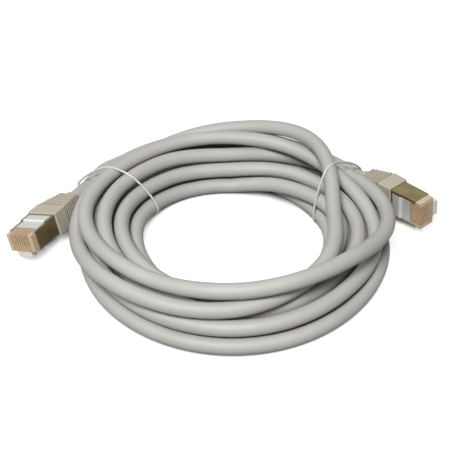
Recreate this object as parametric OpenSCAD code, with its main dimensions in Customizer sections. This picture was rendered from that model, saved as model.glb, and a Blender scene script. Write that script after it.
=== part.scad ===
// Ethernet patch cable: a round jacketed cable wound in a loose coil, held by two
// thin ties, with a shielded 8P8C plug and a ribbed boot on each end.
// Millimetres. Origin at the middle of the coil, on the surface that it lies on.

/* [Cable] */
// Outside diameter of the cable jacket
cable_d = 5.5; // [4.8:0.1:5.8]
// Thickness of the jacket wall
jacket_wall = 0.6; // [0.4:0.05:0.7]
// Thickness of the foil screen under the jacket
foil_t = 0.15; // [0.1:0.05:0.25]
// Diameter of one insulated wire
wire_d = 0.9; // [0.8:0.02:0.94]

/* [Coil] */
// Radius of the outermost turn, to the middle of the cable
coil_r = 55; // [52:0.5:65]
// Room between neighbouring turns, as a part of the spacing
turn_gap = 0.65; // [0.62:0.01:0.9]
// Height that one layer adds, as a share of the spacing of the turns
layer_share = 0.88; // [0.87:0.01:0.95]

/* [Plug] */
// Width of the plug over its metal shell
plug_w = 11.68; // [11.4:0.02:11.8]
// Height of the plug at its nose
nose_h = 6.6; // [6.4:0.05:6.8]
// Length of the plug from its nose to the rear of the shell
plug_len = 20; // [18.5:0.25:22]
// Thickness of the shell's sheet metal
shell_t = 0.25; // [0.2:0.05:0.3]
// How far the rear of the shell is raised on the contact side
shell_step = 0.45; // [0.35:0.05:0.6]
// Distance from the nose to the step in the shell
step_y = 9; // [8.5:0.25:10]
// Length of the slots that show the contacts
slot_len = 4.2; // [4.1:0.1:5]
// Spacing of the eight contacts
contact_pitch = 1.02; // [1:0.01:1.04]
// Thickness of a contact blade
blade_t = 0.46; // [0.34:0.02:0.5]

/* [Latch] */
// Width of the latch at its root
latch_w = 6; // [5.6:0.1:6.2]
// Width of the latch's tongue
tongue_w = 3.2; // [3:0.1:3.6]
// Gap between the tip of the latch's tongue and the boot
tip_gap = 0.4; // [0.4:0.1:1]
// Angle at which the latch stands off the plug
latch_angle = 13; // [12:0.5:15]
// Diameter of the latch's rounded root
root_d = 1.2; // [1:0.1:1.3]

/* [Boot] */
// Length of the plug that the boot covers
grip_len = 6; // [5:0.25:7]
// Length of the boot's smooth block behind the plug
cover_len = 0.6; // [0.4:0.1:2]
// Wall of the boot at the sides of the plug
side_wall = 0.4; // [0.4:0.05:0.8]
// Wall of the boot above and below the plug
top_wall = 0.6; // [0.6:0.05:1]
// Number of ribs
rib_count = 7; // [5:1:7]
// Distance from one rib to the next
rib_pitch = 1.45; // [1.4:0.05:1.7]
// Thickness of one rib
rib_t = 0.85; // [0.7:0.05:1]
// Depth of the grooves between the ribs
groove = 0.45; // [0.3:0.05:0.6]
// Length of the tail sleeve behind the ribs
tail_len = 1.6; // [1:0.2:4]
// Wall of the tail sleeve
tail_wall = 0.7; // [0.6:0.05:0.85]
// Wall of the boot's last rib at its sides
last_rib_side = 1.25; // [1.15:0.05:1.8]
// Wall of the boot's last rib above and below the cable
last_rib_top = 1.05; // [1:0.05:1.5]

/* [Ties] */
// Width of a tie
tie_w = 0.9; // [0.8:0.1:2]
// Thickness of a tie
tie_t = 0.6; // [0.5:0.05:0.9]
// Slack between a tie and the cable
tie_slack = 0.8; // [0.7:0.1:1.5]

/* [Hidden] */

// Running clearance of the latch root in its socket, and the fit of pieces that slide together
fit = 0.05;
eps = 0.01;

// Sizes of the boot and the latch that follow the plug and the cable
boot_y = plug_len - grip_len;
block_len = grip_len + cover_len;
boot_w = plug_w + 2 * side_wall;
boot_h = nose_h + 2 * shell_t + shell_step + 2 * top_wall;
tail_d = cable_d + 2 * tail_wall;
last_rib_w = cable_d + 2 * last_rib_side;
last_rib_h = cable_d + 2 * last_rib_top;
pivot_y = 1.2;
pivot_z = -nose_h / 2 + 0.45;
latch_len = boot_y - pivot_y - tip_gap;
tail_y = boot_y + block_len + rib_count * rib_pitch + tail_len;

// ---- the coil's route ------------------------------------------------------------------
// One row per turn, clockwise seen from above. A row has the eight places of the turn, every
// 45 degrees, as [lane, layer]: lane 0 is the outermost, layer 0 lies on the surface. The
// first turn starts, and the last one ends, part of the way round.
START_ANGLE = 135;
TURNS = [
  [             [-1,.1],    [.2,0],     [.5,0],     [0,0],      [-.1,0],    [-.15,0],   [.1,0]],
  [[.5,0],      [.85,0],    [1.25,0],   [1.5,0],    [1,0],      [.95,0],    [.85,0],    [1.1,0]],
  [[1.5,0],     [1.85,0],   [2.25,0],   [2.5,0],    [2,0],      [1.95,0],   [1.85,0],   [2.1,0]],
  [[2.5,0],     [2.85,0],   [3.25,0],   [3.5,0],    [3,0],      [2.95,0],   [2.85,0],   [3.15,.15]],
  [[3.4,.5],    [3.9,.1],   [4.3,0],    [4.1,.95],  [2.6,1.15], [2.45,1],   [2.4,1],    [2.6,1.15]],
  [[2.6,1.35],  [3.35,1.15],[3.85,1.05],[2.85,1.2], [1.55,1.05],[1.45,1.05],[1.4,1],    [1.6,1.25]],
  [[1.65,1.95], [2.6,2.05], [3,1.65],   [.9,1.1],   [-.2,1.9],  [.7,3.3],   [1.15,3.1], [1.15,2.5]],
  [[.55,2.15],  [1.6,2.4],  [2.15,2.5], [1.95,2.35],[.55,1.05], [.4,1.1],   [.3,1],     [.5,1]],
  [[1,1],       [.8,1.4],   [1.1,2.5],  [1.8,3.6],  [2.95,2.3], [1.9,2.3],  [.75,2.05], [.05,2.15]],
  [[-.05,1],    [-.2,.9],   [.4,1.1]]];
PLACES = [for (turn = TURNS) for (place = turn) place];
PLACES_PER_TURN = 8;
RINGS_PER_TURN = 24;
spacing = cable_d + turn_gap;
layer_h = spacing * layer_share;
// The cable is cut flat where it lies, a tenth of its diameter deep
flat = cable_d / 10;

function clampi(i) = min(max(i, 0), len(PLACES) - 1);
function smooth(p0, p1, p2, p3, t) = 0.5 * (2 * p1 + (p2 - p0) * t
    + (2 * p0 - 5 * p1 + 4 * p2 - p3) * t * t + (3 * p1 - p0 - 3 * p2 + p3) * t * t * t);
function place_at(s) = let (i = min(floor(s), len(PLACES) - 2), t = s - i)
    smooth(PLACES[clampi(i - 1)], PLACES[i], PLACES[i + 1], PLACES[clampi(i + 2)], t);
function coil_point(s) = let (p = place_at(s), r = coil_r - spacing * p[0],
    a = START_ANGLE - s * 360 / PLACES_PER_TURN)
    [r * cos(a), r * sin(a), cable_d / 2 - flat + layer_h * p[1]];
function coil_points(per_place) = let (n = (len(PLACES) - 1) * per_place)
    [for (k = [0 : n]) coil_point(k / per_place)];

COIL = coil_points(RINGS_PER_TURN / PLACES_PER_TURN);
COIL_LAST = len(COIL) - 1;
coil_dir_a = unit(coil_point(0.05) - coil_point(0));
coil_dir_b = unit(coil_point(len(PLACES) - 1) - coil_point(len(PLACES) - 1.05));
coil_end_a = COIL[0] - coil_dir_a * cable_d;
coil_end_b = COIL[COIL_LAST] + coil_dir_b * cable_d;

// Least gap of the coil to itself: turns are compared where they pass the same angle
FINE = 6;
FINE_COIL = coil_points(FINE);
coil_gap = min([for (i = [0 : len(FINE_COIL) - 1])
    for (j = [i + FINE * PLACES_PER_TURN : FINE * PLACES_PER_TURN : len(FINE_COIL) - 1])
        norm(FINE_COIL[i] - FINE_COIL[j])]) - cable_d;
coil_length = sum_of([for (i = [1 : len(FINE_COIL) - 1]) norm(FINE_COIL[i] - FINE_COIL[i - 1])]);

// ---- where the plugs lie -----------------------------------------------------------------
// Each plug is placed by the end of its boot's tail: so far outside the coil, or inside it
// where the lead lies above the turns. It follows the size of the coil and of the boot.
// PLUG_A and PLUG_B hold the middle of the nose, then the heading, pitch and roll of the line
// from nose to tail.
tail_out_a = 0.38;
tail_out_b = -1.98;
tail_up_a = 5.42;
tail_up_b = 5.94;
PLUG_A = plug_from_tail(beside_coil(tail_out_a, 164.7, tail_up_a), [63.8, -6, 16]);
PLUG_B = plug_from_tail(beside_coil(tail_out_b, 28.8, tail_up_b), [127.5, -6.5, 93]);
function beside_coil(out, angle, up) = let (r = coil_r + cable_d / 2 + tail_d / 2 + out)
    [r * cos(angle), r * sin(angle), up];
function plug_from_tail(tail, turn) = let (plug = concat([tail], turn))
    concat([tail - facing(plug, [0, tail_y, 0])], turn);

function turn_x(a, v) = [v.x, v.y * cos(a) - v.z * sin(a), v.y * sin(a) + v.z * cos(a)];
function turn_y(a, v) = [v.x * cos(a) + v.z * sin(a), v.y, v.z * cos(a) - v.x * sin(a)];
function turn_z(a, v) = [v.x * cos(a) - v.y * sin(a), v.x * sin(a) + v.y * cos(a), v.z];
function facing(plug, v) = turn_z(plug[1] - 90, turn_x(plug[2], turn_y(-plug[3], v)));
function on_plug(plug, v) = plug[0] + facing(plug, v);

tail_a = on_plug(PLUG_A, [0, tail_y, 0]);
tail_b = on_plug(PLUG_B, [0, tail_y, 0]);
tail_dir_a = facing(PLUG_A, [0, 1, 0]);
tail_dir_b = facing(PLUG_B, [0, 1, 0]);
// Each lead runs straight out of its boot, bends, and runs straight into the coil
lead_straight = 8.5;
LEAD_A = lead(tail_a, tail_dir_a, coil_end_a, coil_dir_a);
LEAD_B = lead(tail_b, tail_dir_b, coil_end_b, -coil_dir_b);

function unit(v) = v / norm(v);
function sum_of(v) = v * [for (x = v) 1];
function bend(p, dp, q, dq, t) = p * pow(1 - t, 3) + 3 * (p + dp) * t * pow(1 - t, 2)
    + 3 * (q - dq) * t * t * (1 - t) + q * pow(t, 3);
function lead(p, dp, q, dq) = let (s = p + dp * lead_straight, reach = norm(q - s) / 3)
    concat([p, p + dp * lead_straight / 2], [for (k = [0 : 8]) bend(s, dp * reach, q, dq * reach, k / 8)]);

// ---- shared shapes ------------------------------------------------------------------------
// A tube of n sides along points, with square ends
function ring(p, t, r, n) = let (side = unit(cross(t, [0, 0, 1])), up = cross(side, t))
    [for (k = [0 : n - 1]) p + r * (sin(360 * k / n) * side - cos(360 * k / n) * up)];
function along(points, i) = unit(points[min(i + 1, len(points) - 1)] - points[max(i - 1, 0)]);
module tube(points, d, n, start_dir, end_dir) {
    last = len(points) - 1;
    rings = [for (i = [0 : last]) each
        ring(points[i], i == 0 ? start_dir : i == last ? end_dir : along(points, i), d / 2, n)];
    sides = [for (i = [0 : last - 1]) for (k = [0 : n - 1])
        let (a = i * n + k, b = i * n + (k + 1) % n) each [[a, b, a + n], [b, b + n, a + n]]];
    first_cap = [for (k = [1 : n - 2]) [0, k + 1, k]];
    last_cap = [for (k = [1 : n - 2]) [last * n, last * n + k, last * n + k + 1]];
    polyhedron(points = rings, faces = concat(sides, first_cap, last_cap), convexity = 10);
}
module on_end(plug) {
    translate(plug[0]) rotate([0, 0, plug[1] - 90]) rotate([plug[2], 0, 0])
        rotate([0, -plug[3], 0]) children();
}
// Extrudes a shape drawn in x and z along +y
module along_y(y, length) {
    translate([0, y, 0]) rotate([-90, 0, 0]) linear_extrude(length) mirror([0, 1]) children();
}
module rounded(w, h, r) {
    square([w - 2 * r, h], center = true);
    square([w, h - 2 * r], center = true);
    for (x = [-1, 1]) for (y = [-1, 1])
        translate([x * (w / 2 - r), y * (h / 2 - r)]) circle(r, $fn = 32);
}
module rod_y(y, length, d) { translate([0, y, 0]) rotate([-90, 0, 0]) cylinder(d = d, h = length, $fn = 32); }
module rod(p, q, d) {
    v = q - p;
    translate(p) rotate([0, acos(v.z / norm(v)), atan2(v.y, v.x)]) cylinder(d = d, h = norm(v), $fn = 24);
}

// ---- the cable ---------------------------------------------------------------------------
jacket_grey = "#c8c6c2";
module cord_coil() color(jacket_grey) difference() {
    tube(concat([coil_end_a], COIL, [coil_end_b]), cable_d, 6, coil_dir_a, coil_dir_b);
    translate([0, 0, -cable_d]) cube([6 * coil_r, 6 * coil_r, 2 * cable_d], center = true);
    for (tie = [TIE_LEFT, TIE_RIGHT]) tie_notch(tie);
}
module cord_lead_a() color(jacket_grey) tube(LEAD_A, cable_d, 6, tail_dir_a, coil_dir_a);
module cord_lead_b() color(jacket_grey) tube(LEAD_B, cable_d, 6, tail_dir_b, -coil_dir_b);

// ---- the ties ----------------------------------------------------------------------------
// A tie is a closed band in an upright plane: a point of the plane and its heading
tie_in_left = 5.1;
tie_in_right = 16;
TIE_LEFT = [inside_coil(tie_in_left, 155.7), 156];
TIE_RIGHT = [inside_coil(tie_in_right, 22.6), 51];
function inside_coil(way, angle) = let (r = coil_r - way) [r * cos(angle), r * sin(angle)];
tie_reach = 5 * spacing;
function in_tie(tie, p) = let (u = [cos(tie[1]), sin(tie[1])], d = [p.x, p.y] - tie[0])
    [d * u, d * [-u.y, u.x]];
// Where a route passes through the plane of a tie: [place along it, height, stretch sideways,
// stretch upwards]
function passes(tie, route) = [for (i = [1 : len(route) - 1])
    let (a = in_tie(tie, route[i - 1]), b = in_tie(tie, route[i]))
    if (a.y * b.y < 0 && abs(a.x) < tie_reach && abs(b.x) < tie_reach)
        let (t = a.y / (a.y - b.y), run = [b.x - a.x, b.y - a.y], rise = route[i].z - route[i - 1].z)
        [a.x + run.x * t, route[i - 1].z + rise * t,
            norm(run) / abs(run.y), norm([rise, run.y]) / abs(run.y)]];
module bundle(tie) {
    route = concat([for (i = [len(LEAD_A) - 1 : -1 : 0]) LEAD_A[len(LEAD_A) - 1 - i]], COIL,
        [for (i = [len(LEAD_B) - 1 : -1 : 0]) LEAD_B[i]]);
    hull() for (p = passes(tie, route))
        translate([p[0], p[1]]) scale([p[2], p[3]]) circle(d = cable_d, $fn = 24);
}
module tie_loop(tie) {
    translate([tie[0].x, tie[0].y, 0]) rotate([90, 0, tie[1]])
        linear_extrude(tie_w, center = true) difference() {
            intersection() {
                offset(r = tie_slack + tie_t) bundle(tie);
                translate([-2 * tie_reach, 0]) square([4 * tie_reach, 4 * tie_reach]);
            }
            intersection() {
                offset(r = tie_slack) bundle(tie);
                translate([-2 * tie_reach, tie_t]) square([4 * tie_reach, 4 * tie_reach]);
            }
        }
}
// The jacket gives way where a tie passes beneath it
module tie_notch(tie) {
    translate([tie[0].x, tie[0].y, 0]) rotate([0, 0, tie[1]])
        translate([-2 * tie_reach, -tie_w / 2 - fit, -cable_d])
            cube([4 * tie_reach, tie_w + 2 * fit, cable_d + tie_t + fit]);
}
module tie_left() color("#e8e8e4") tie_loop(TIE_LEFT);
module tie_right() color("#e8e8e4") tie_loop(TIE_RIGHT);

// ---- the plug ----------------------------------------------------------------------------
// Drawn with its nose at y = 0, the cable leaving towards +y and the contacts on the +z side
housing_w = plug_w - 2 * shell_t;
housing_len = plug_len - 1;
wire_z = -0.9;
channel_h = wire_d + 0.2;
blade_y = 0.6;
blade_len = slot_len - blade_y - 0.2;
blade_recess = 0.35;
bar_len = 4;
bar_h = 3;
pocket_low = -nose_h / 2 + 0.4;
pocket_high = nose_h / 2 - 0.3;
contact_span = 8 * contact_pitch;
bar_w = contact_span + 0.8;
jacket_y = plug_len - 2;
fan_len = 5.4;
bar_y = jacket_y - fan_len - bar_len;
bundle_r = 1.35;
relief_len = 6;
relief_top = pivot_z + 0.1;
shell_front = 2.4;
window_w = latch_w + 0.8;
screen_d = cable_d - 2 * jacket_wall;

module plug_housing() color([0.86, 0.88, 0.88, 0.55]) difference() {
    union() {
        translate([-housing_w / 2, 0, -nose_h / 2]) cube([housing_w, housing_len, nose_h]);
        translate([-housing_w / 2, step_y + shell_t, 0])
            cube([housing_w, housing_len - step_y - shell_t, nose_h / 2 + shell_step]);
    }
    for (i = [0 : 7]) translate([(i - 3.5) * contact_pitch - blade_t / 2, -1, wire_z])
        cube([blade_t, slot_len + 1, nose_h]);
    translate([-contact_span / 2, 0.6, wire_z - channel_h / 2])
        cube([contact_span, bar_y, channel_h]);
    translate([-bar_w / 2, bar_y, wire_z - bar_h / 2]) cube([bar_w, bar_len, bar_h]);
    translate([-bar_w / 2, bar_y, pocket_low]) cube([bar_w, housing_len, pocket_high - pocket_low]);
    translate([-latch_w / 2 - fit, pivot_y, pivot_z]) rotate([0, 90, 0])
        cylinder(d = root_d + 2 * fit, h = latch_w + 2 * fit, $fn = 32);
    translate([-latch_w / 2 - fit, pivot_y, -nose_h])
        cube([latch_w + 2 * fit, relief_len, relief_top + nose_h]);
}

module shield_shell() color("#9c9a8e") difference() {
    union() {
        along_y(shell_front, step_y - shell_front + shell_t)
            square([plug_w, nose_h + 2 * shell_t], center = true);
        along_y(step_y, plug_len - step_y) translate([0, shell_step / 2])
            square([plug_w, nose_h + 2 * shell_t + shell_step], center = true);
    }
    along_y(-1, plug_len + 2) square([housing_w, nose_h], center = true);
    along_y(step_y + shell_t, plug_len) translate([0, shell_step / 2])
        square([housing_w, nose_h + shell_step], center = true);
    along_y(-1, slot_len + 1.6) translate([0, nose_h / 2]) square([contact_span + 1, 4], center = true);
    along_y(-1, boot_y) translate([0, -nose_h / 2 - shell_t]) square([window_w, 1.2], center = true);
}

latch_t = 0.85;
latch_top = -0.05;
shoulder_y = 5.6;
lug_front = 1;
lug_len = 2.6;
lug_low = 3;
lug_gap = 0.1;
module latch() color([0.86, 0.88, 0.88, 0.6]) translate([0, pivot_y, pivot_z]) {
    rotate([0, 90, 0]) translate([0, 0, -latch_w / 2]) cylinder(d = root_d, h = latch_w, $fn = 32);
    translate([-latch_w / 2, -lug_front, -lug_low])
        cube([latch_w, lug_len, lug_low - (pivot_z + nose_h / 2) - lug_gap]);
    rotate([-latch_angle, 0, 0]) {
        translate([-latch_w / 2, 0, latch_top - latch_t]) cube([latch_w, shoulder_y, latch_t]);
        translate([-latch_w / 2, shoulder_y - 1.6, latch_top - latch_t - 0.7])
            cube([latch_w, 1.6, 0.7 + eps]);
        translate([-tongue_w / 2, shoulder_y - eps, latch_top - latch_t])
            cube([tongue_w, latch_len - shoulder_y, latch_t]);
        translate([-tongue_w / 2, latch_len - 1.2, latch_top - latch_t - 0.3])
            cube([tongue_w, 1.2, 0.3 + eps]);
    }
}

module contacts() color("#d9b25a") for (i = [0 : 7])
    translate([(i - 3.5) * contact_pitch - blade_t / 2, blade_y, wire_z + wire_d / 2 + eps])
        cube([blade_t, blade_len, nose_h / 2 - blade_recess - wire_z - wire_d / 2]);

module load_bar() color("#efeee8") difference() {
    translate([-bar_w / 2, bar_y, wire_z - bar_h / 2]) cube([bar_w, bar_len, bar_h]);
    for (i = [0 : 7]) translate([(i - 3.5) * contact_pitch, bar_y - 1, wire_z])
        rotate([-90, 0, 0]) cylinder(d = wire_d + 0.08, h = bar_len + 2, $fn = 12);
}

WIRE_COLOURS = ["#e9e2d2", "#e07b28", "#e8eee2", "#2f62b0", "#e6ebf2", "#3d9a4b", "#efe6dd", "#7a4a2a"];
elbow_y = bar_y + bar_len + 0.4;
wire_tip = 0.8;
function bundle_place(i) = [bundle_r * cos(45 * i + 157.5), jacket_y, -bundle_r * sin(45 * i + 157.5)];
BUNDLE_ORDER = [0, 1, 7, 2, 6, 3, 5, 4];
module conductors() for (i = [0 : 7]) {
    front = [(i - 3.5) * contact_pitch, elbow_y, wire_z];
    back = bundle_place(BUNDLE_ORDER[i]);
    color(WIRE_COLOURS[i])
        tube([[front.x, wire_tip, wire_z], front, [front.x, elbow_y + 1.8, i % 2 == 0 ? -1.1 : 0.6], back,
            [back.x, tail_y, back.z]], wire_d, 6, [0, 1, 0], [0, 1, 0]);
}

module drain_wire() color("#b9bcc0") rod_y(jacket_y, tail_y - jacket_y, 0.6);
module foil_screen() color("#c4c7ca") difference() {
    rod_y(jacket_y, tail_y - jacket_y, screen_d);
    rod_y(jacket_y - 1, tail_y - jacket_y + 2, screen_d - 2 * foil_t);
}
module jacket_end() color(jacket_grey) difference() {
    rod_y(jacket_y + 1, tail_y - jacket_y - 1, cable_d);
    rod_y(jacket_y, tail_y - jacket_y + 1, screen_d + 2 * eps);
}
ferrule_d = cable_d + 2 * eps;
ferrule_t = 0.4;
module crimp_ferrule() color("#8f8d82") difference() {
    rod_y(plug_len + 0.5, 5, ferrule_d + 2 * ferrule_t);
    rod_y(plug_len, 6, ferrule_d);
    translate([-0.4, plug_len, 0]) cube([0.8, 6, cable_d]);
}

// ---- the boot ----------------------------------------------------------------------------
boot_grey = "#b9b3a8";
rib_round = 2.5;
block_round = 0.8;
ribs_y = boot_y + block_len;
sleeve_y = ribs_y + rib_count * rib_pitch;
function rib_share(i) = (i + 1) / rib_count;
function rib_w(i) = boot_w + (last_rib_w - boot_w) * rib_share(i);
function rib_h(i) = boot_h + (last_rib_h - boot_h) * rib_share(i);
module boot() color(boot_grey) difference() {
    union() {
        along_y(boot_y, block_len) rounded(boot_w, boot_h, block_round);
        for (i = [0 : rib_count - 1]) {
            y = ribs_y + i * rib_pitch;
            along_y(y - eps, rib_pitch - rib_t + 2 * eps)
                rounded(rib_w(i) - 2 * groove, rib_h(i) - groove, rib_round);
            along_y(y + rib_pitch - rib_t, rib_t) rounded(rib_w(i), rib_h(i), rib_round);
        }
        rod_y(sleeve_y - eps, tail_len + eps, tail_d);
    }
    along_y(boot_y - 1, plug_len - boot_y + 1 + 0.3) translate([0, shell_step / 2])
        square([plug_w + 2 * fit, nose_h + 2 * shell_t + shell_step + 2 * fit], center = true);
    rod_y(plug_len, 6.2, ferrule_d + 2 * ferrule_t + 2 * fit);
    rod_y(plug_len, tail_y, cable_d + 2 * eps);
}

echo(coil_gap = coil_gap, coil_length = coil_length,
    cord_length = coil_length + 2 * cable_d + route_length(LEAD_A) + route_length(LEAD_B));
function route_length(route) = sum_of([for (i = [1 : len(route) - 1]) norm(route[i] - route[i - 1])]);
echo(nose_a = PLUG_A[0], nose_b = PLUG_B[0], coil_r = coil_r, spacing = spacing);
echo(pivot_a = on_plug(PLUG_A, [0, pivot_y, pivot_z]), axis_a = facing(PLUG_A, [1, 0, 0]),
    pivot_b = on_plug(PLUG_B, [0, pivot_y, pivot_z]), axis_b = facing(PLUG_B, [1, 0, 0]));
echo(tail_a = tail_a, tail_dir_a = tail_dir_a, tail_b = tail_b, tail_dir_b = tail_dir_b,
    coil_end_a = coil_end_a, coil_end_b = coil_end_b);

cord_coil();
cord_lead_a();
cord_lead_b();
tie_left();
tie_right();
on_end(PLUG_A) plug_housing();  // plug_housing_a
on_end(PLUG_A) shield_shell();  // shield_shell_a
on_end(PLUG_A) latch();  // latch_a
on_end(PLUG_A) contacts();  // contacts_a
on_end(PLUG_A) load_bar();  // load_bar_a
on_end(PLUG_A) conductors();  // conductors_a
on_end(PLUG_A) drain_wire();  // drain_wire_a
on_end(PLUG_A) foil_screen();  // foil_screen_a
on_end(PLUG_A) jacket_end();  // jacket_end_a
on_end(PLUG_A) crimp_ferrule();  // crimp_ferrule_a
on_end(PLUG_A) boot();  // boot_a
on_end(PLUG_B) plug_housing();  // plug_housing_b
on_end(PLUG_B) shield_shell();  // shield_shell_b
on_end(PLUG_B) latch();  // latch_b
on_end(PLUG_B) contacts();  // contacts_b
on_end(PLUG_B) load_bar();  // load_bar_b
on_end(PLUG_B) conductors();  // conductors_b
on_end(PLUG_B) drain_wire();  // drain_wire_b
on_end(PLUG_B) foil_screen();  // foil_screen_b
on_end(PLUG_B) jacket_end();  // jacket_end_b
on_end(PLUG_B) crimp_ferrule();  // crimp_ferrule_b
on_end(PLUG_B) boot();  // boot_b
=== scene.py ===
# %% [markdown]
# # An ethernet patch cable
# A patch cable is one long round cable with a plug on each end. This one is wound in a loose
# coil of about nine turns, and two thin ties hold the turns together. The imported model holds
# every part as a solid, and the sizes and places below are those of its solids. The looks are
# made here: the cord as one smooth curve, the moulded boots, the ties, and a finish for each
# part of the plugs.

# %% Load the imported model
import math
import bpy
from mathutils import Matrix, Vector


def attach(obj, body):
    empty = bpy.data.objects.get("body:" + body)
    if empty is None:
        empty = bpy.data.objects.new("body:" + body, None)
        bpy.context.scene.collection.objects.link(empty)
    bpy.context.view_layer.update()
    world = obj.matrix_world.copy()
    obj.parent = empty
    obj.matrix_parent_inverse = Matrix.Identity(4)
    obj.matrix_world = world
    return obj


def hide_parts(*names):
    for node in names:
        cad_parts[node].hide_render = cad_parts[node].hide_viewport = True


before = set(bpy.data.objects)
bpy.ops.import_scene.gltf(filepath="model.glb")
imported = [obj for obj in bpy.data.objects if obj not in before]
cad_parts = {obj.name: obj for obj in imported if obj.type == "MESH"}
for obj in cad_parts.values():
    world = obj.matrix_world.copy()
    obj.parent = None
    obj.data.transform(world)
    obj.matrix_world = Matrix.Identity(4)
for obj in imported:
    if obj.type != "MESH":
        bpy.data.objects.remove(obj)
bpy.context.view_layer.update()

MM = 0.001  # a millimetre, in the metres of the scene

# %% [markdown]
# ## Camera
# A long lens from about a third of a metre away, looking down at 40 degrees, shows the coil
# as an ellipse that is wider than it is deep. The distance from the lens to the image is
# known in pixels of a square image 450 wide, which gives the lens in millimetres.

# %% Camera
IMAGE_WIDE = 450
LENS_TO_IMAGE = 932
LOOK_DOWN = 40
bpy.ops.object.select_all(action="DESELECT")
bpy.ops.object.camera_add(location=(-1.9 * MM, -259.6 * MM, 224.5 * MM),
                          rotation=(math.radians(90 - LOOK_DOWN), 0, 0))
camera = bpy.context.object
camera.data.sensor_width = 36
camera.data.lens = camera.data.sensor_width * LENS_TO_IMAGE / IMAGE_WIDE
camera.data.clip_start = 0.01
bpy.context.scene.camera = camera

# %% [markdown]
# ## The coil's route
# A hand-wound coil is never even: the turns swap places and climb over each other. So each
# turn is written down at eight places, 45 degrees apart, as a lane and a layer. Lane
# 0 is the outermost and layer 0 lies on the surface. A smooth curve runs through the places.

# %% Route of the coil
CABLE = 5.5 * MM
GAP = 0.65 * MM
LANE = CABLE + GAP
LAYER = LANE * 0.88
OUTER = 55 * MM
START_ANGLE = 135
PLACE_ANGLE = 45
TURNS = [
    [             (-1, .1),    (.2, 0),     (.5, 0),     (0, 0),      (-.1, 0),    (-.15, 0),   (.1, 0)],
    [(.5, 0),     (.85, 0),    (1.25, 0),   (1.5, 0),    (1, 0),      (.95, 0),    (.85, 0),    (1.1, 0)],
    [(1.5, 0),    (1.85, 0),   (2.25, 0),   (2.5, 0),    (2, 0),      (1.95, 0),   (1.85, 0),   (2.1, 0)],
    [(2.5, 0),    (2.85, 0),   (3.25, 0),   (3.5, 0),    (3, 0),      (2.95, 0),   (2.85, 0),   (3.15, .15)],
    [(3.4, .5),   (3.9, .1),   (4.3, 0),    (4.1, .95),  (2.6, 1.15), (2.45, 1),   (2.4, 1),    (2.6, 1.15)],
    [(2.6, 1.35), (3.35, 1.15), (3.85, 1.05), (2.85, 1.2), (1.55, 1.05), (1.45, 1.05), (1.4, 1), (1.6, 1.25)],
    [(1.65, 1.95), (2.6, 2.05), (3, 1.65),  (.9, 1.1),   (-.2, 1.9),  (.7, 3.3),   (1.15, 3.1), (1.15, 2.5)],
    [(.55, 2.15), (1.6, 2.4),  (2.15, 2.5), (1.95, 2.35), (.55, 1.05), (.4, 1.1),  (.3, 1),     (.5, 1)],
    [(1, 1),      (.8, 1.4),   (1.1, 2.5),  (1.8, 3.6),  (2.95, 2.3), (1.9, 2.3),  (.75, 2.05), (.05, 2.15)],
    [(-.05, 1),   (-.2, .9),   (.4, 1.1)]]
PLACES = [Vector(place) for turn in TURNS for place in turn]


def smooth(p0, p1, p2, p3, t):
    """A smooth curve from p1 to p2 that knows its neighbours."""
    return 0.5 * (2 * p1 + (p2 - p0) * t + (2 * p0 - 5 * p1 + 4 * p2 - p3) * t ** 2
                  + (3 * p1 - p0 - 3 * p2 + p3) * t ** 3)


def coil_point(s):
    """The point s places along the coil."""
    last = len(PLACES) - 1
    i = min(int(s), last - 1)
    near = [PLACES[min(max(k, 0), last)] for k in (i - 1, i, i + 1, i + 2)]
    lane, layer = smooth(*near, s - i)
    angle = math.radians(START_ANGLE - PLACE_ANGLE * s)
    layer = max(layer, 0)  # the curve swings a little below its places
    r = OUTER - LANE * lane
    # The real cable is round and lies on the surface, where the solid is cut flat.
    return Vector((r * math.cos(angle), r * math.sin(angle), CABLE / 2 + LAYER * layer))


STEPS = 12
coil = [coil_point(k / STEPS) for k in range((len(PLACES) - 1) * STEPS + 1)]
print("turns:", (len(PLACES) - 1) * PLACE_ANGLE / 360)

# %% [markdown]
# ## Where the plugs lie
# Each plug is described once, lying along +Y with its nose at the origin, and then turned and
# moved to its place. The place is that of the boot's tail beside the coil: how far it is
# outside the outermost turn, at which angle round the coil, and how high. A minus sign puts
# the tail over the turns. Then come the heading, pitch and roll of the plug, in degrees. The
# sizes of a plug and its boot are in millimetres.

# %% Places of the plugs
PLUGS = {"a": (0.38 * MM, 164.7, 5.42 * MM, (63.8, -6, 16)),
         "b": (-1.98 * MM, 28.8, 5.94 * MM, (127.5, -6.5, 93))}
BOOT_WIDTH, BOOT_HEIGHT = 12.68, 8.95
LAST_RIB_WIDTH, LAST_RIB_HEIGHT = 8.0, 7.6
BOOT_FRONT, BLOCK, TAIL, TAIL_WIDE = 14, 6.6, 1.6, 6.9
RIBS, RIB_PITCH = 7, 1.45
TAIL_END = BOOT_FRONT + BLOCK + RIBS * RIB_PITCH + TAIL


def round_coil(reach, angle, height=0.0):
    """The point so far from the middle of the coil, at an angle in degrees."""
    angle = math.radians(angle)
    return Vector((reach * math.cos(angle), reach * math.sin(angle), height))


def plug_matrix(end):
    """Takes a plug that lies along +Y to its place."""
    outside, angle, height, (heading, pitch, roll) = PLUGS[end]
    tail = round_coil(OUTER + CABLE / 2 + TAIL_WIDE / 2 * MM + outside, angle, height)
    return (Matrix.Translation(tail)
            @ Matrix.Rotation(math.radians(heading - 90), 4, "Z")
            @ Matrix.Rotation(math.radians(pitch), 4, "X")
            @ Matrix.Rotation(math.radians(-roll), 4, "Y")
            @ Matrix.Translation((0, -TAIL_END * MM, 0)))


# %% [markdown]
# ## The whole route
# From the tail of each boot the cable runs straight for a little, then bends into the coil.

# %% Leads and route
STRAIGHT = 8.5 * MM


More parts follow.
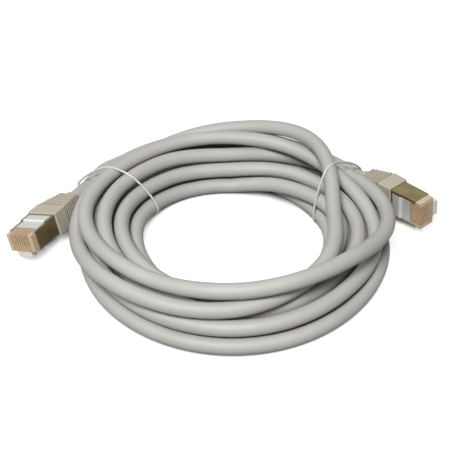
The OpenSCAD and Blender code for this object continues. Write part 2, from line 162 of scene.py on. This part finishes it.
def bend(p, dp, q, dq, steps=24):
    """A soft bend from p, leaving along dp, to q, arriving along dq."""
    reach = (q - p).length / 3
    a, b = p + dp * reach, q - dq * reach
    return [p * (1 - t) ** 3 + 3 * a * t * (1 - t) ** 2 + 3 * b * t ** 2 * (1 - t) + q * t ** 3
            for t in (k / steps for k in range(steps + 1))]


def lead(tail, way, end, end_way):
    """The way from a boot's tail to one end of the coil."""
    return [tail] + bend(tail + way * STRAIGHT, way, end, end_way)


tails = {end: plug_matrix(end) @ Vector((0, TAIL_END * MM, 0)) for end in "ab"}
tail_ways = {end: plug_matrix(end).to_3x3() @ Vector((0, 1, 0)) for end in "ab"}
into_coil = (coil[1] - coil[0]).normalized()
out_of_coil = (coil[-1] - coil[-2]).normalized()
before_coil, after_coil = coil[0] - into_coil * CABLE, coil[-1] + out_of_coil * CABLE
lead_a = lead(tails["a"], tail_ways["a"], before_coil, into_coil)
lead_b = lead(tails["b"], tail_ways["b"], after_coil, -out_of_coil)
route = lead_a + coil + lead_b[::-1]
length = sum((q - p).length for p, q in zip(route, route[1:]))
print("cord length, m:", round(length, 3))

# %% [markdown]
# ## The cord
# One curve with a round bevel is the natural way to make a cord: it keeps its thickness in
# every bend, and its length is the length of its line. It takes the place of the coil and of
# both leads.


# %% Cord
def cord_curve(name, points, thickness, resolution=5, closed=False):
    """A round cord or wire along the points. A closed one joins its ends."""
    data = bpy.data.curves.new(name, "CURVE")
    data.dimensions = "3D"
    data.bevel_depth = 1  # times each point's radius, which the curve's box counts too
    data.bevel_resolution = resolution
    data.use_fill_caps = not closed
    line = data.splines.new("POLY")
    line.points.add(len(points) - 1)
    for spot, p in zip(line.points, points):
        spot.co, spot.radius = (*p, 1), thickness / 2
    line.use_cyclic_u = closed
    line.use_smooth = True
    piece = bpy.data.objects.new(name, data)
    bpy.context.scene.collection.objects.link(piece)
    return piece


cable = cord_curve("cable_jacket", route, CABLE)
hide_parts("cord_lead_a", "cord_coil", "cord_lead_b")
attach(cable, "cable")

# %% [markdown]
# ## The ties
# Each tie is a thin loop of coated wire, pulled loosely round the bundle. The loop lies in an
# upright plane. Where the cable goes through that plane, its outline is in the way: a circle,
# stretched where the cable goes through askew. The loop is the shortest ring round all of
# those outlines, a little rounded off. On the outer side it hangs loose, with a bulge.


# %% Ties
TIE_THICK = 0.85 * MM
TIE_REACH = 5 * LANE  # no bundle is wider than this on either side of a tie's spot
BULGE_ANGLE = 0.3
ROUNDING_PASSES = 6


def crossings(spot, heading):
    """Where the cable goes through a tie's plane: how far along, how high, how stretched."""
    along = Vector((math.cos(heading), math.sin(heading)))
    found = []
    for p, q in zip(route, route[1:]):
        u, v = p.xy - spot, q.xy - spot
        before, after = along.cross(u), along.cross(v)
        if before * after <= 0 and max(abs(u.dot(along)), abs(v.dot(along))) < TIE_REACH:
            t = before / (before - after)
            stretch = (v - u).length / abs(after - before)
            found.append((u.lerp(v, t).dot(along), p.z + (q.z - p.z) * t, stretch))
    return found


def tie_loop(name, spot, heading, slack, bulge, steps=72):
    """The ring round the bundle at a spot inside it. The heading points out of the coil."""
    spot, heading = spot.xy, math.radians(heading)
    passes = crossings(spot, heading)
    turns = [2 * math.pi * k / steps for k in range(steps)]
    reach = [max(x * math.cos(a) + z * math.sin(a)
                 + CABLE / 2 * math.hypot(stretch * math.cos(a), math.sin(a))
                 for x, z, stretch in passes)
             + slack + bulge * max(math.cos(a - BULGE_ANGLE), 0) ** 4 for a in turns]
    for _ in range(ROUNDING_PASSES):
        reach = [(reach[k - 1] + 2 * reach[k] + reach[(k + 1) % steps]) / 4 for k in range(steps)]
    points = []
    for k, a in enumerate(turns):
        slope = (reach[(k + 1) % steps] - reach[k - 1]) / (2 * turns[1])
        x = reach[k] * math.cos(a) - slope * math.sin(a)
        z = reach[k] * math.sin(a) + slope * math.cos(a)
        points.append(Vector((spot.x + x * math.cos(heading), spot.y + x * math.sin(heading),
                              max(z, TIE_THICK / 2))))
    tie = cord_curve(name + "_wire", points, TIE_THICK, resolution=3, closed=True)
    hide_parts(name)
    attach(tie, "cable")
    return tie


ties = [tie_loop("tie_left", round_coil(OUTER - 5.1 * MM, 155.7), 156, 0.2 * MM, 1.0 * MM),
        tie_loop("tie_right", round_coil(OUTER - 16 * MM, 22.6), 51, 0.2 * MM, 0.2 * MM)]

# %% [markdown]
# ## The boots
# A boot is one soft moulding: a boxy block that grips the plug, then ribs that get smaller
# towards the cable. Bevelled boxes are stacked and joined, and a voxel remesh melts them into
# one skin, as in a mould.


# %% Boots
RIB_THICK = 0.75
GROOVE_SIDE, GROOVE_TOP = 1.6, 1.5  # how much narrower and lower the grooves are
LAP = 0.5  # each groove's box runs this far into its neighbours
SLEEVE = 3
VOXEL = 0.13


def box_piece(width, start, depth, height, rounding):
    """A box with round edges, its middle on the plug's line, from start back along it."""
    bpy.ops.mesh.primitive_cube_add(size=1, location=(0, (start + depth / 2) * MM, 0))
    piece = bpy.context.object
    piece.dimensions = (width * MM, depth * MM, height * MM)
    bpy.ops.object.transform_apply(location=True, rotation=False, scale=True)
    bevel = piece.modifiers.new("rounding", "BEVEL")
    bevel.width, bevel.segments, bevel.limit_method = rounding * MM, 4, "NONE"
    bpy.ops.object.modifier_apply(modifier=bevel.name)
    return piece


def make_boot(end):
    """The boot of one end, made lying along +Y and then taken to its place."""
    bpy.ops.object.select_all(action="DESELECT")
    parts = [box_piece(BOOT_WIDTH, BOOT_FRONT, BLOCK, BOOT_HEIGHT, rounding=0.35)]
    for i in range(RIBS):
        share = (i + 1) / RIBS
        width = BOOT_WIDTH + (LAST_RIB_WIDTH - BOOT_WIDTH) * share
        height = BOOT_HEIGHT + (LAST_RIB_HEIGHT - BOOT_HEIGHT) * share
        y = BOOT_FRONT + BLOCK + i * RIB_PITCH
        parts.append(box_piece(width - GROOVE_SIDE, y - LAP, RIB_PITCH + 2 * LAP,
                               height - GROOVE_TOP, rounding=0.45))
        parts.append(box_piece(width, y + RIB_PITCH - RIB_THICK, RIB_THICK, height,
                               rounding=0.2))
    bpy.ops.mesh.primitive_cylinder_add(vertices=48, radius=TAIL_WIDE / 2 * MM, depth=SLEEVE * MM,
                                        location=(0, (TAIL_END - SLEEVE / 2) * MM, 0),
                                        rotation=(math.radians(90), 0, 0))
    parts.append(bpy.context.object)
    for part in parts:
        part.select_set(True)
    bpy.context.view_layer.objects.active = parts[0]
    bpy.ops.object.join()
    boot = bpy.context.object
    boot.name = "boot_skin_" + end
    bpy.ops.object.transform_apply(location=True, rotation=True, scale=True)
    remesh = boot.modifiers.new("melt", "REMESH")
    remesh.mode, remesh.voxel_size = "VOXEL", VOXEL * MM
    soften = boot.modifiers.new("soften", "SMOOTH")
    soften.factor, soften.iterations = 0.5, 1
    for modifier in ("melt", "soften"):
        bpy.ops.object.modifier_apply(modifier=modifier)
    boot.data.transform(plug_matrix(end))
    bpy.ops.object.shade_smooth()
    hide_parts("boot_" + end)
    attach(boot, "cable")
    return boot


boots = {end: make_boot(end) for end in "ab"}

# %% [markdown]
# ## Materials
# Shader maths reads best as plain expressions. The first class below wraps a socket, so that
# `0.1 + 0.3 * mask` adds the Math nodes by itself. The others make and link any other node.


# %% Shader helpers
class Value:
    """A socket that can be used in an expression."""

    def __init__(self, graph, socket):
        self.graph, self.socket = graph, socket

    def _math(self, operation, *values):
        return self.graph.node("ShaderNodeMath", {"operation": operation}, dict(enumerate(values)))

    def __radd__(self, other): return self._math("ADD", other, self)
    def __sub__(self, other): return self._math("SUBTRACT", self, other)
    def __rsub__(self, other): return self._math("SUBTRACT", other, self)
    def __mul__(self, other): return self._math("MULTIPLY", self, other)
    def __rmul__(self, other): return self._math("MULTIPLY", other, self)
    def size(self): return self._math("ABSOLUTE", self)


class Graph:
    """A tree of nodes: of a material, or of the world."""

    def __init__(self, tree):
        self.nodes, self.links = tree.nodes, tree.links

    def put(self, socket, value):
        """Gives a socket another node's output, or a plain value."""
        if isinstance(value, Value):
            self.links.new(value.socket, socket)
        else:
            socket.default_value = value

    def node(self, kind, settings=None, values=None, output=0):
        """Makes a node, fills in its settings and sockets, and gives one of its outputs."""
        made = self.nodes.new(kind)
        for key, value in (settings or {}).items():
            setattr(made, key, value)
        for key, value in (values or {}).items():
            self.put(made.inputs[key], value)
        return Value(self, made.outputs[output])


class Finish(Graph):
    """A material made of nodes, with its shader ready."""

    def __init__(self, name, **constants):
        self.material = bpy.data.materials.new(name)
        self.material.use_nodes = True
        super().__init__(self.material.node_tree)
        self.shader = self.nodes["Principled BSDF"]
        for socket, value in constants.items():
            self.shader.inputs[socket.replace("_", " ")].default_value = value

    def place(self):
        """The place on the object, in metres from the origin."""
        return self.node("ShaderNodeTexCoord", output="Object")

    def noise(self, per_metre, detail=3.0, rough=0.5):
        return self.node("ShaderNodeTexNoise", values={
            "Vector": self.place(), "Scale": per_metre, "Detail": detail, "Roughness": rough})

    def mix(self, factor, first, second):
        return self.node("ShaderNodeMix", {"data_type": "RGBA"},
                         {0: factor, 6: first, 7: second}, output=2)

    def bump(self, height, distance):
        made = self.node("ShaderNodeBump", values={"Height": height, "Distance": distance})
        self.put(self.shader.inputs["Normal"], made)

    def set(self, **values):
        for socket, value in values.items():
            self.put(self.shader.inputs[socket.replace("_", " ")], value)
        return self


def srgb(red, green, blue):
    """A colour as it is read off a screen, 0 to 255, in the numbers that a shader takes."""
    part = [v / 255 for v in (red, green, blue)]
    return (*[v / 12.92 if v < 0.04045 else ((v + 0.055) / 1.055) ** 2.4 for v in part], 1)


def dress(finish, *pieces):
    """Gives the pieces one finish, and no other."""
    for piece in pieces:
        piece.data.materials.clear()
        piece.data.materials.append(finish.material)


def node_of(name):
    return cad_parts[name]


# %% [markdown]
# ### Jacket
# Light grey plastic, half matt. Its tone drifts a little over a few centimetres, and handling
# leaves fine, faint marks.

# %% Jacket finish
jacket = Finish("jacket", IOR=1.5)
drift = jacket.noise(45)
grain = jacket.noise(2500, detail=2)
jacket.set(Base_Color=jacket.mix(drift, srgb(148, 146, 142), srgb(172, 170, 166)),
           Roughness=0.5 + 0.14 * grain)
jacket.bump(grain, 0.00003)
dress(jacket, cable)
for end in "ab":
    dress(jacket, node_of("jacket_end_" + end))

# %% [markdown]
# ### A plug's own directions
# Some patterns follow the plug, which lies askew. So the place in the shader is turned back
# into the plug's own directions: across it, back from its nose, and up.


# %% Plug directions in a shader
def over(finish, value, limit, soft=0.05 * MM):
    """0 below the limit and 1 above it, with a soft edge."""
    return finish.node("ShaderNodeMapRange", {"interpolation_type": "SMOOTHSTEP"}, {
        "Value": value, "From Min": limit - soft, "From Max": limit + soft})


def plug_place(finish, end):
    """The place in a plug's own directions: first as a vector, then across, back and up."""
    place = plug_matrix(end)
    in_plug = finish.node("ShaderNodeMapping", {"vector_type": "TEXTURE"}, {
        "Vector": finish.place(), "Location": tuple(place.translation),
        "Rotation": tuple(place.to_euler("XYZ"))})
    parts = finish.nodes.new("ShaderNodeSeparateXYZ")
    finish.links.new(in_plug.socket, parts.inputs[0])
    return in_plug, *[Value(finish, parts.outputs[k]) for k in range(3)]


# %% [markdown]
# ### Boots
# A warmer grey than the cable, matt, with a fine moulded grain. The grooves between the ribs are
# darkened with painted shade.


# %% Boot finish
def boot_finish(end):
    finish = Finish("boot_skin_" + end, IOR=1.5)
    _, _, back, _ = plug_place(finish, end)
    speckle = finish.noise(1800, detail=2)
    unshaded_boot = finish.mix(finish.noise(150), srgb(156, 149, 134), srgb(172, 165, 150))
    rib_place = finish.node("ShaderNodeMath", {"operation": "FRACT"}, {
        0: (back - (BOOT_FRONT + BLOCK) * MM) * (1 / (RIB_PITCH * MM))})
    among_ribs = (over(finish, back, (BOOT_FRONT + BLOCK) * MM)
                  * (1 - over(finish, back, (TAIL_END - TAIL) * MM)))
    # Painted shade: the grooves between the ribs are darkened three quarters of the way to a dark brown-grey.
    painted_groove_shade = (1 - over(finish, rib_place, 0.46, 0.1)) * among_ribs
    finish.set(Base_Color=finish.mix(painted_groove_shade * 0.75, unshaded_boot, srgb(96, 88, 74)),
               Roughness=0.5 + 0.15 * speckle)
    finish.bump(speckle, 0.00004)
    return finish


for end in "ab":
    dress(boot_finish(end), boots[end])

# %% [markdown]
# ### Shields
# The folded metal is a dark bronze on its sides. On the contact side there is a bright plate
# between dark rims, with a band across its step.


# %% Shield finish
PLATE_LOW, PLATE_HALF_WIDE, PLATE_END = 3.42 * MM, 4.75 * MM, 13.1 * MM
BAND_START, BAND_END = 9.0 * MM, 9.9 * MM


def shield_finish(end):
    finish = Finish("shield_" + end)
    in_plug, across, back, up = plug_place(finish, end)
    plate = (over(finish, up, PLATE_LOW) * (1 - over(finish, across.size(), PLATE_HALF_WIDE))
             * (1 - over(finish, back, PLATE_END)))
    band = over(finish, back, BAND_START) * (1 - over(finish, back, BAND_END))
    cloud = finish.noise(220, detail=4)
    grain_way = finish.node("ShaderNodeMapping", values={"Vector": in_plug, "Scale": (8.0, 1.0, 1.0)})
    brushed = finish.node("ShaderNodeTexNoise", values={
        "Vector": grain_way, "Scale": 900, "Detail": 2.0})
    bronze = finish.mix(cloud, srgb(98, 84, 52), srgb(142, 128, 92))
    silver = finish.mix(brushed, srgb(166, 168, 168), srgb(200, 201, 200))
    silver = finish.mix(band, silver, srgb(232, 232, 230))
    finish.set(Base_Color=finish.mix(plate, bronze, silver), Metallic=0.7 - 0.45 * plate,
               Roughness=0.3 + 0.2 * brushed)
    return finish


shields = {end: shield_finish(end) for end in "ab"}

# %% [markdown]
# ### Clear plastic
# Through the clear plastic of the housing the eight wires and their gold contacts show, and it
# reads as a tan block with eight fine warm stripes and a paler edge. The latch is clearer.


# %% Clear plastic finishes
WIRE_PITCH = 1.02 * MM
STRIPES_HALF_WIDE = 4.3 * MM


def housing_finish(end):
    finish = Finish("housing_" + end, IOR=1.5, Transmission_Weight=0.15)
    _, across, _, _ = plug_place(finish, end)
    wave = finish.node("ShaderNodeMath", {"operation": "COSINE"},
                       {0: across * (2 * math.pi / WIRE_PITCH)})
    stripe = 0.5 - 0.5 * wave
    inner = 1 - over(finish, across.size(), STRIPES_HALF_WIDE, 0.2 * MM)
    tan = finish.mix(finish.noise(250), srgb(184, 164, 132), srgb(206, 188, 160))
    warm = finish.mix(stripe * inner, tan, srgb(170, 122, 70))
    finish.set(Base_Color=warm, Roughness=0.14 + 0.08 * stripe)
    return finish


housings = {end: housing_finish(end) for end in "ab"}
clear = Finish("latch_plastic", IOR=1.5, Transmission_Weight=0.25)
cloudy = clear.noise(300)
clear.set(Base_Color=clear.mix(cloudy, srgb(226, 214, 204), srgb(240, 232, 224)),
          Roughness=0.12 + 0.08 * cloudy)

# %% [markdown]
# ### Contacts
# Gold plating, with faint wear where the springs of a jack have wiped.

# %% Gold finish
gold = Finish("gold", Metallic=1.0)
gold.set(Base_Color=gold.mix(gold.noise(900), srgb(206, 152, 62), srgb(238, 196, 110)),
         Roughness=0.2 + 0.1 * gold.noise(2500))

# %% [markdown]
# ### Inside the plug
# The bar is off-white plastic, the wires' insulation is a pale orange tan, the screen is foil
# and the ties have a pale grey coating.

# %% Inside and tie finishes
bar_skin = Finish("load_bar", IOR=1.5)
bar_skin.set(Base_Color=bar_skin.mix(bar_skin.noise(400), srgb(200, 182, 160), srgb(216, 202, 184)),
             Roughness=0.45 + 0.1 * bar_skin.noise(1500))
wire_skin = Finish("wire", IOR=1.5)
wire_skin.set(Base_Color=wire_skin.mix(wire_skin.noise(300), srgb(190, 150, 110), srgb(214, 190, 160)),
              Roughness=0.4 + 0.1 * wire_skin.noise(1500))
foil_skin = Finish("foil", Metallic=1.0)
foil_skin.set(Base_Color=foil_skin.mix(foil_skin.noise(700), srgb(190, 192, 195), srgb(222, 223, 226)),
              Roughness=0.25 + 0.2 * foil_skin.noise(1500))
tie_skin = Finish("tie", IOR=1.48)
tie_skin.set(Base_Color=tie_skin.mix(tie_skin.noise(400), srgb(176, 176, 176), srgb(198, 198, 198)),
             Roughness=0.25 + 0.1 * tie_skin.noise(1500))
for end in "ab":
    dress(housings[end], node_of("plug_housing_" + end))
    dress(clear, node_of("latch_" + end))
    dress(shields[end], node_of("shield_shell_" + end), node_of("crimp_ferrule_" + end))
    dress(gold, node_of("contacts_" + end))
    dress(bar_skin, node_of("load_bar_" + end))
    dress(wire_skin, node_of("conductors_" + end))
    dress(foil_skin, node_of("foil_screen_" + end), node_of("drain_wire_" + end))
dress(tie_skin, *ties)

# %% [markdown]

# %% [markdown]
# ## Floor and light
# The cable lies on a plain pale table in studio light. The background is white to the camera,
# and also in what metal and clear plastic reflect or let through, but it doesn't light the
# cable. The table glows in the same way, a little less than white, so it keeps the shadow.
# Where strands of cable close it in, an occlusion test turns its glow off, which paints shade into the gaps
# between turns.


# %% Floor
def shown(graph):
    """1 where the background is seen or mirrored, 0 where it would give light."""
    path = graph.nodes.new("ShaderNodeLightPath")
    most = Value(graph, path.outputs["Is Camera Ray"])
    for kind in ("Is Glossy Ray", "Is Transmission Ray"):
        most = graph.node("ShaderNodeMath", {"operation": "MAXIMUM"},
                          {0: most, 1: Value(graph, path.outputs[kind])})
    return most


bpy.ops.object.select_all(action="DESELECT")
bpy.ops.mesh.primitive_plane_add(size=0.6, location=(0, 0.03, 0))
floor = bpy.context.object
floor.name = "floor"
table_top = Finish("table_top", Roughness=0.9)
table_top.set(Base_Color=srgb(128, 128, 128))
# Painted shade: near the strands the occlusion test turns the floor's glow off, so the gaps between the turns
# are darkened.
painted_gap_shade_openness = table_top.node("ShaderNodeAmbientOcclusion", {"samples": 16}, {"Distance": 8 * MM}, output=1)
glow = table_top.node("ShaderNodeEmission", values={
    "Color": (0.84, 0.84, 0.84, 1), "Strength": over(table_top, painted_gap_shade_openness, 0.3, 0.15) * shown(table_top)})
both = table_top.nodes.new("ShaderNodeAddShader")
table_top.links.new(table_top.shader.outputs[0], both.inputs[0])
table_top.links.new(glow.socket, both.inputs[1])
table_top.links.new(both.outputs[0], table_top.nodes["Material Output"].inputs["Surface"])
dress(table_top, floor)

# %% [markdown]
# ### Lamps
# A small, fairly hard lamp in front and above gives each turn of the coil a light back and a
# dark flank. A weaker one behind lifts the far turns off the background.

# %% Lights
WORLD_LIGHT = 0.07
world = bpy.data.worlds.new("studio")
bpy.context.scene.world = world
world.use_nodes = True
sky = Graph(world.node_tree)
background = sky.nodes["Background"]
background.inputs["Color"].default_value = (1, 1, 1, 1)
sky.put(background.inputs["Strength"], WORLD_LIGHT + (1 - WORLD_LIGHT) * shown(sky))


def lamp(name, place, size, power, aim=(0, 0, 0)):
    """A square lamp: place, size and aim in metres, power in watts."""
    bpy.ops.object.light_add(type="AREA", location=place)
    light = bpy.context.object
    light.name = name
    light.data.shape = "SQUARE"
    light.data.size = size
    light.data.energy = power
    light.rotation_euler = (Vector(aim) - Vector(place)).to_track_quat("-Z", "Y").to_euler()


lamp("key", (-0.12, -0.4, 0.62), 0.25, 7.8)
lamp("back", (-0.2, 0.45, 0.5), 0.4, 0.8)
bpy.context.scene.view_settings.view_transform = "Standard"

# %% [markdown]
# ## Last step
# The view layer is brought up to date.

# %% Update the view layer
bpy.context.view_layer.update()
